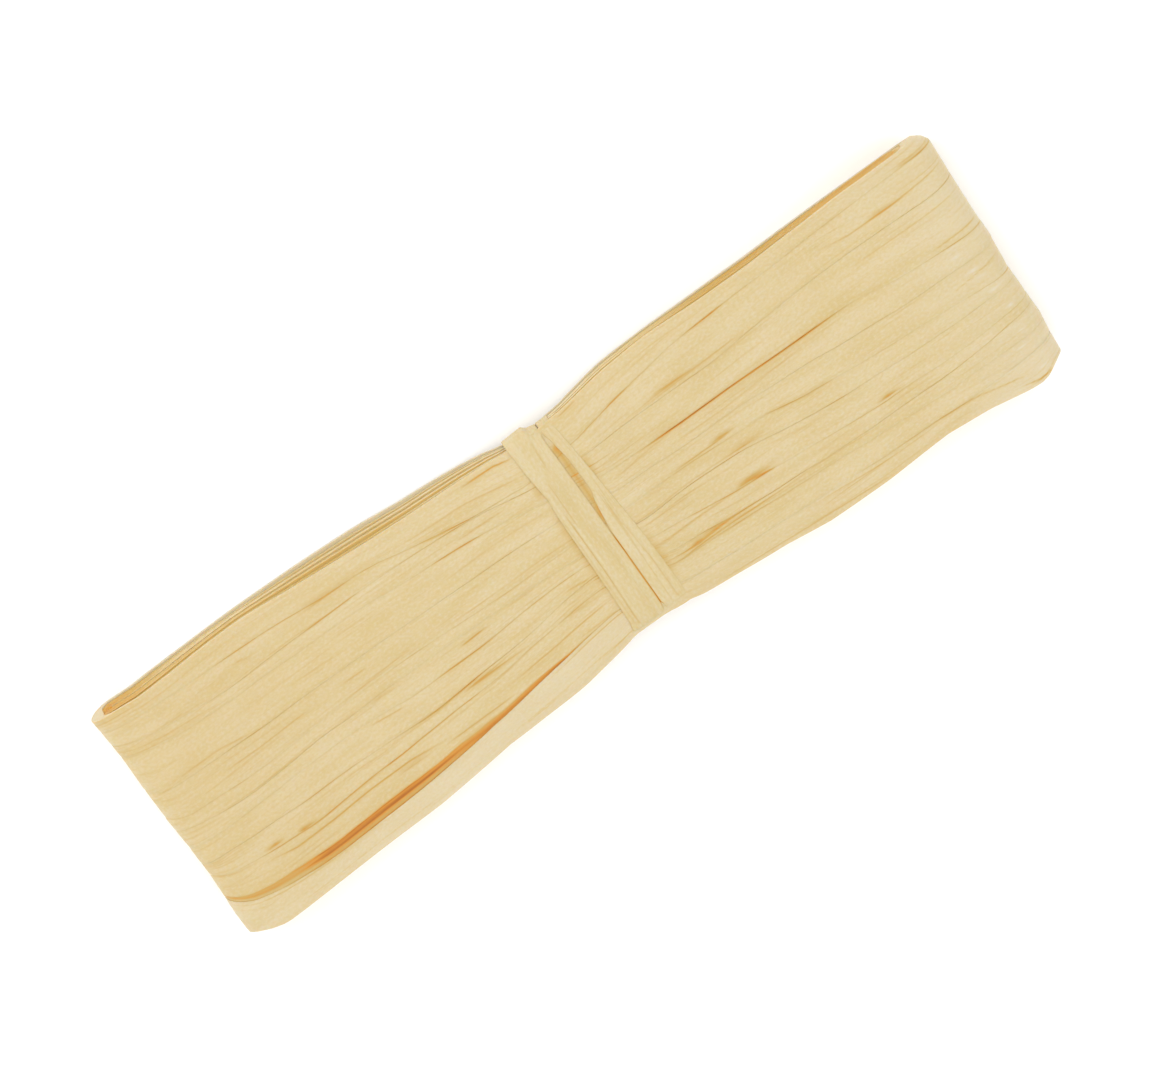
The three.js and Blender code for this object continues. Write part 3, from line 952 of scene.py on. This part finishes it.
# Takes a line seen on the upper side back to the plain flat loop, row by row.
def flatPlace(points, low, atOnce=False):
    y = np.zeros(rowCount)
    for _ in range(4):
        seenX = alongX * (1 - bundle["endSkew"] * (y + bundle["width"] / 2) / (bundle["length"] / 2))
        _, drawn, _ = drawIn(alongX, y, np.full(rowCount, loop["upperZ"]))
        y = y + follow(points, seenX) - drawn
    upper = rowOutZ > -0.05
    atEnd = [y[upper & (rowX == -foldX)][-1], y[upper & (rowX == foldX)][0]]
    held = np.where(rowX > 0, atEnd[1], atEnd[0])
    share = ease(-rowOutZ, 0, 1) if atOnce else ease(foldX - np.abs(rowX), 0, 70)
    return softenAlong(np.where(upper, y, held + (low - held) * share), 1.5)


def backEdge():
    wide = cutCorners["wideEnd"] * ease(alongX, *cutCorners["wideEndX"])
    return lowerEdges[-1] - wide - cutCorners["narrowEnd"] * ease(-alongX, *cutCorners["narrowEndX"])


seams = [flatPlace(upperFront, lowerEdges[0], True)]
seams += [flatPlace(points, low) for points, low in zip(upperSeams, lowerEdges[1:-1])] + [backEdge()]
swaying = np.random.default_rng(5)
for seam in seams[1:-1]:
    seam += drift(swaying, 110, strands["edgeDrift"]) * ease(-rowOutZ, 0.1, 0.9) + drift(swaying, 22, 0.1)
groove = flatPlace(grooveFront, lowerEdges[-2])
grooveBack = np.maximum(groove, seams[10])


def finish(piece, node, paint):
    piece.data.materials.clear()
    piece.data.materials.append(paint)
    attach(piece, "root")
    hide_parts(node)


def seamsBeside(number, coveredFront, coveredBack):
    beside = []
    for index, isLower in ((number - 2, coveredFront), (number - 1, coveredBack)):
        if 0 <= index < len(upperSeams):
            strength = follow(seamShade[index], alongX)
            strength = 0.3 + (strength - 0.3) * ease(rowOutZ, -0.5, 0.5)
            line = grooveBack if index == 9 and number == sideNumber else seams[index + 1]
            beside.append((line, strength, isLower))
    return beside


for place, number in enumerate(layingOrder):
    coveredFront = number > 1 and layingOrder.index(number - 1) < place
    coveredBack = number < sideNumber and layingOrder.index(number + 1) < place
    left = seams[number - 1] - strands["overlap"] * coveredFront
    right = seams[number] + strands["overlap"] * coveredBack
    spec = dict(
        edgeStrand if number in (1, sideNumber) else strands,
        seams=seamsBeside(number, coveredFront, coveredBack),
        front=number == 1,
    )
    name, node = f"outerStrand{number:02d}", f"outer_strand_{number:02d}"
    if number == sideNumber - 1:
        right = grooveBack + strands["overlap"]
        spec["groove"] = True
    if number == sideNumber:
        name, node = "sideStrand", "side_strand"
        left = softenAlong(grooveBack, 2)
        spec["sink"] = 1.0
        # The side strand is painted paler towards +X, a painted highlight.
        spec["paintedLighter"] = 0.1 + 0.3 * ease(alongX, -12, 5)[:, None]
    piece = layStrand(name, 100 + number, left, right, 0, spec)
    finish(piece, node, outerPaint)
print("outer strands laid")

# The strands below: the edges of each level, and how far they lie inside the outer ones.
inward = dict(strands, columnStep=0.8, innerColumns=4, creases=2)
hidden = dict(inward, plies=(1, 1, 1), wallSteps=(2, 2, 2))
middleLevel = {"slope": 0.2, "front": 0.3, "back": 0.4, "overlap": 0.6}
innerLevel = {"slope": 0.4, "front": 0.15, "back": 0.2, "gap": 0.15}
upperRows = rowOutZ > 0.5
frontAbove = np.interp(alongX, alongX[upperRows][::-1], seams[0][upperRows][::-1])


def levelEdges(level):  # the front edges slope from the lower edge of the bundle to the upper one
    opposite = np.where(rowOutZ > 0, lowerEdges[0], frontAbove)
    slope = level["slope"] * (opposite - seams[0]) * (1 - ease(rowReach, 119, 125))
    return seams[0] + slope + level["front"], seams[-1] - level["back"]


front, back = levelEdges(middleLevel)
for number in (1, 10, 4, 7, 2, 9, 5, 3, 8, 6):
    left = front + (back - front) * ((number - 1) / 10) - middleLevel["overlap"] * (number > 1)
    right = front + (back - front) * (number / 10) + middleLevel["overlap"] * (number < 10)
    spec = dict(inward if number in (1, 10) else hidden, front=number == 1)
    piece = layStrand(f"middleStrand{number:02d}", 200 + number, left, right, 1, spec)
    finish(piece, f"middle_strand_{number:02d}", innerPaint)
front, back = levelEdges(innerLevel)
for number in range(1, 9):
    left = front + (back - front) * ((number - 1) / 8)
    right = front + (back - front) * (number / 8) - innerLevel["gap"]
    spec = inward if number in (1, 8) else hidden
    piece = layStrand(f"innerStrand{number:02d}", 300 + number, left, right, 2, spec)
    finish(piece, f"inner_strand_{number:02d}", innerPaint)
print("middle and inner strands laid")

# The tie goes round twice. On top its two turns lie side by side, with a narrow opening between them.
tie = {
    "thickness": 0.26,
    "clear": -0.08,  # how far it stands off the strands; below 0 it presses in
    "turnPitch": 0.6,
    "corner": 2.6,
    "head": (-4.6, -11.0),  # each pair is its two edges along the bundle
    "firstFront": (-6.1, -9.6),
    "firstBack": (-6.4, -13.2),
    "second": (3.8, -5.9),
    "tail": (5.0, -4.4),
    "headY": 4.0,
    "tailY": 8.0,
    "rise": 0.2,  # how far out the second turn lies on top, in turns
    "bulge": ((-6, -0.5), (-3.6, -0.1), (-2.4, 0.9), (4, 0.6)),  # over the front edge, as (x, outwards)
    "opening": (-6.08, 0.17),  # the middle and the width of the painted shade line in the gap between the turns
    "frontX": -7.0,
    "rowStep": 1.0,
    "edgeSteps": 18,
    "columns": 40,
    "creases": 5,
    "creaseDepth": 0.08,
}
# Folds along the tie on top: how strong, then points (x, y).
tieFolds = (
    (0.6, (1.1, -9), (1.0, 10), (1.6, 30)),
    (0.3, (2.4, -10), (2.4, 28)),
    (0.4, (0.0, -19), (0.1, -3)),
    (0.25, (-2.4, -30), (-2.0, -20)),
    (0.3, (-8.6, 30), (-9.0, 12), (-9.6, -8)),
    (0.25, (-10.8, 30), (-10.6, 14), (-9.4, -2)),
)
waistFront = float(drawIn(tie["frontX"], -bundle["width"] / 2, loop["upperZ"])[1])
waistBack = float(drawIn(bundle["waistX"], lowerEdges[-1], loop["upperZ"])[1])
halfWaist = (waistBack - waistFront) / 2


def tieWay():
    halfWidth = halfWaist + tie["clear"] + tie["thickness"] / 2
    halfHeight = bundle["stackHeight"] + bundle["waistHollow"] + tie["clear"] + tie["thickness"] / 2
    corner = tie["corner"]
    flatEnd = halfWidth - corner
    upright = 2 * (halfHeight - corner)
    quarter = math.pi / 2 * corner
    spots = []  # y, z, outward angle, the two edges' x, turn

    def flat(side, fromY, toY, fromEdges, toEdges, turn):
        steps = max(2, round(abs(toY - fromY) / tie["rowStep"]))
        for i in range(steps):
            share = i / steps
            y = fromY + (toY - fromY) * share
            smooth = share * share * (3 - 2 * share)
            edges = [a + (b - a) * smooth for a, b in zip(fromEdges, toEdges)]
            spots.append((y, side * halfHeight, side * math.pi / 2, *edges, turn))

    def across(fromEdges, toEdges, turn, lines):  # on top, where its edges follow the lines
        first = len(spots)
        flat(1, -flatEnd, flatEnd, fromEdges, toEdges, turn)
        for i in range(first, len(spots)):
            y, z, angle = spots[i][:3]
            spots[i] = (y, z, angle, follow(lines[0], y), follow(lines[1], y), turn)

    def edge(front, fromEdges, toEdges, fromTurn, toTurn):
        side = -1 if front else 1
        start = -math.pi / 2 if front else math.pi / 2
        for i in range(tie["edgeSteps"]):
            share = i / tie["edgeSteps"]
            travelled = share * (2 * quarter + upright)
            slid = min(max(travelled - quarter, 0), upright)
            turned = min(travelled, quarter) / corner + max(travelled - quarter - upright, 0) / corner
            angle = start - turned
            centreZ = slid - halfHeight + corner if front else halfHeight - corner - slid
            y = side * flatEnd + corner * math.cos(angle)
            z = centreZ + corner * math.sin(angle)
            edges = [a + (b - a) * share for a, b in zip(fromEdges, toEdges)]
            spots.append((y, z, angle, *edges, fromTurn + (toTurn - fromTurn) * share))

    firstFront, firstBack = tie["firstFront"], tie["firstBack"]
    second, tail, rise = tie["second"], tie["tail"], tie["rise"]
    flat(-1, tie["headY"], -flatEnd, tie["head"], firstFront, 0)
    edge(True, firstFront, firstFront, 0, 0)
    across(firstFront, firstBack, 0, (firstInnerEdge, firstOuterEdge))
    edge(False, firstBack, firstBack, 0, 1)
    flat(-1, flatEnd, -flatEnd, firstBack, second, 1)
    edge(True, second, second, 1, rise)
    across(second, second, rise, (secondOuterEdge, secondInnerEdge))
    edge(False, second, tail, rise, 1)
    flat(-1, flatEnd, tie["tailY"], tail, tail, 1)
    return np.array(spots)


def sway(rng, length, wave, amount):  # a smooth random value along the tie
    total = np.zeros(len(length))
    for _ in range(4):
        total += np.sin(length / (wave * rng.uniform(0.6, 1.8)) * oneTurn + rng.uniform(0, oneTurn))
    return amount * total / 2


def creaseTie(rng, length, share, widths, low, line):
    for _ in range(tie["creases"]):
        path = rng.uniform(0.08, 0.92) + sway(rng, length, 45, 0.06)
        window = np.clip(sway(rng, length, rng.uniform(25, 60), 1) + rng.uniform(0, 0.5), 0, 1)
        amount = (rng.uniform(0.3, 1) * window)[:, None]
        away = (share[None, :] - path[:, None]) * widths
        low += tie["creaseDepth"] * amount / (1 + np.exp(-away / 0.12)) * np.exp(-np.abs(away) / 1.6)
        line += 0.2 * amount * bell(away, 0.22)


def foldTie(x, seenY, onTop, low, line):
    for strength, *places in tieFolds:
        points = sorted((atY, atX) for atX, atY in places)
        first, last = points[0][0], points[-1][0]
        window = ease(seenY, first - 1, first + 5) * (1 - ease(seenY, last - 3, last + 1)) * onTop
        away = x - follow(points, seenY)
        lip = 0.12 / (1 + np.exp(away / 0.1)) * np.exp(-np.abs(away))
        low += strength * window * (0.14 * bell(away, 0.2) + lip)
        line += strength * window * bell(away, 0.2)


def makeTie():
    rng = np.random.default_rng(9)
    way = tieWay()
    way[:, 1] *= 1 - bundle["edgeSqueeze"] * np.minimum(1, np.abs(way[:, 0]) / halfWaist) ** 4
    middleY = (waistFront + waistBack) / 2
    middleZ = bundle["stackHeight"] + bundle["waistHollow"] + bundle["waistLift"]
    y, z, angle, firstX, secondX, turn = (way[:, i:i + 1] for i in range(6))
    length = np.concatenate([[0], np.cumsum(np.hypot(np.diff(way[:, 0]), np.diff(way[:, 1])))])
    share = np.linspace(0, 1, tie["columns"] + 1)
    widths = firstX - secondX
    firstEdge = way[:, 3] + sway(rng, length, 40, 0.08)
    secondEdge = way[:, 4] + sway(rng, length, 40, 0.08)
    x = firstEdge[:, None] + (secondEdge - firstEdge)[:, None] * share
    seenY = y + middleY
    low = np.zeros_like(x)
    line = np.zeros_like(x)
    creaseTie(rng, length, share, widths, low, line)
    foldTie(x, seenY, (z > 3.5) * ease(np.abs(y), 31, 27), low, line)
    low = np.minimum(low, 0.14) + 0.14 * np.abs(2 * share - 1)[None, :] ** 8
    bulge = np.clip(-np.cos(angle), 0, 1) * (firstX > 0) * follow(tie["bulge"], x)
    out = turn * tie["turnPitch"] + tie["thickness"] / 2 - low + bulge
    inner = turn * tie["turnPitch"] - tie["thickness"] / 2 - 0.5 * low + bulge
    # Painted shade on the tie: along its creases, folds and edges, in the gap between its turns, and on its
    # whole inner face.
    tieEdgeShade = np.exp(-np.minimum(share, 1 - share)[None, :] * widths / 0.2)
    openingX, openingWidth = tie["opening"]
    between = bell(x - openingX, openingWidth) * ease(seenY, 1, 6) * (z > 0)
    paintedLight = np.clip(0.55 * line + 0.2 * tieEdgeShade + between, 0, 1)
    ringX = np.concatenate([x, x[:, ::-1], x[:, :1]], axis=1)
    ringOut = np.concatenate([out, inner[:, ::-1], out[:, :1]], axis=1)
    ringTint = np.concatenate([paintedLight, 0 * paintedLight + 0.7, paintedLight[:, :1]], axis=1)
    lateral = np.concatenate([x, 40 - x[:, ::-1], 40 - x[:, :1]], axis=1)
    ringY = y + middleY + np.cos(angle) * ringOut
    ringZ = z + middleZ + np.sin(angle) * ringOut
    spots = np.stack([ringX, ringY, ringZ], axis=2) * mm
    uv = np.stack([np.tile(length[:, None], (1, lateral.shape[1])), lateral], axis=2) * mm
    return ribbonMesh("tieStrip", spots, uv, ringTint)


finish(makeTie(), "tie_strip", tiePaint)
print("tie wound")

# The stage: a pale floor, soft light from all round and two broad lights.
studio = {
    "floor": (0.93, 0.93, 0.925),
    "floorSize": 12,
    "floorRoughness": 0.9,
    "sky": 1.3,
    "keyLight": ((0.5, -0.75, 0.9), 0.5, 4.5),  # where, how wide and how strong
    "fillLight": ((-0.8, 0.5, 0.8), 0.8, 1.5),
}
bpy.ops.object.select_all(action="DESELECT")
bpy.ops.mesh.primitive_plane_add(size=studio["floorSize"], location=(0, 0, 0))
floor = bpy.context.object
floor.name = "floor"
floorPaint = Paint("floorPaper")
floorPaint.put(floorPaint.shader, "Base Color", (*studio["floor"], 1))
floorPaint.put(floorPaint.shader, "Roughness", studio["floorRoughness"])
floor.data.materials.append(floorPaint.material)

world = bpy.data.worlds.new("studioSky")
bpy.context.scene.world = world
world.use_nodes = True
world.node_tree.nodes["Background"].inputs[0].default_value = (1, 1, 1, 1)
world.node_tree.nodes["Background"].inputs[1].default_value = studio["sky"]


def softLight(name, place, size, power):
    bpy.ops.object.light_add(type="AREA", location=place)
    light = bpy.context.object
    light.name = name
    light.data.shape = "DISK"
    light.data.size = size
    light.data.energy = power
    light.rotation_euler = (Vector((0, 0, 0)) - Vector(place)).to_track_quat("-Z", "Y").to_euler()


softLight("keyLight", *studio["keyLight"])
softLight("fillLight", *studio["fillLight"])

# The camera stands on the front side, 76 degrees up, and is rolled as the bundle lies in the picture.
camera = {
    "elevation": 76.0,
    "roll": 144.7,
    "lens": 300.0,
    "sensor": 36,
    "frameWidth": 0.2931,
    "aim": (0.0014, 0.0007),
}
elevation = math.radians(camera["elevation"])
roll = math.radians(camera["roll"])
back = Vector((0, -math.cos(elevation), math.sin(elevation)))
level = Vector((1, 0, 0))
upward = Vector((0, math.sin(elevation), math.cos(elevation)))
pictureRight = level * math.cos(roll) + upward * math.sin(roll)
pictureTop = -level * math.sin(roll) + upward * math.cos(roll)
aim = -pictureRight * camera["aim"][0] - pictureTop * camera["aim"][1]
distance = camera["frameWidth"] * camera["lens"] / camera["sensor"]
bpy.ops.object.camera_add()
cameraObject = bpy.context.object
cameraObject.data.lens = camera["lens"]
cameraObject.data.sensor_width = camera["sensor"]
turn = Matrix((pictureRight, pictureTop, back)).transposed()
cameraObject.matrix_world = Matrix.Translation(aim + back * distance) @ turn.to_4x4()
bpy.context.scene.camera = cameraObject
bpy.context.scene.view_settings.view_transform = "Standard"
bpy.context.scene.view_settings.look = "None"
print("stage set")
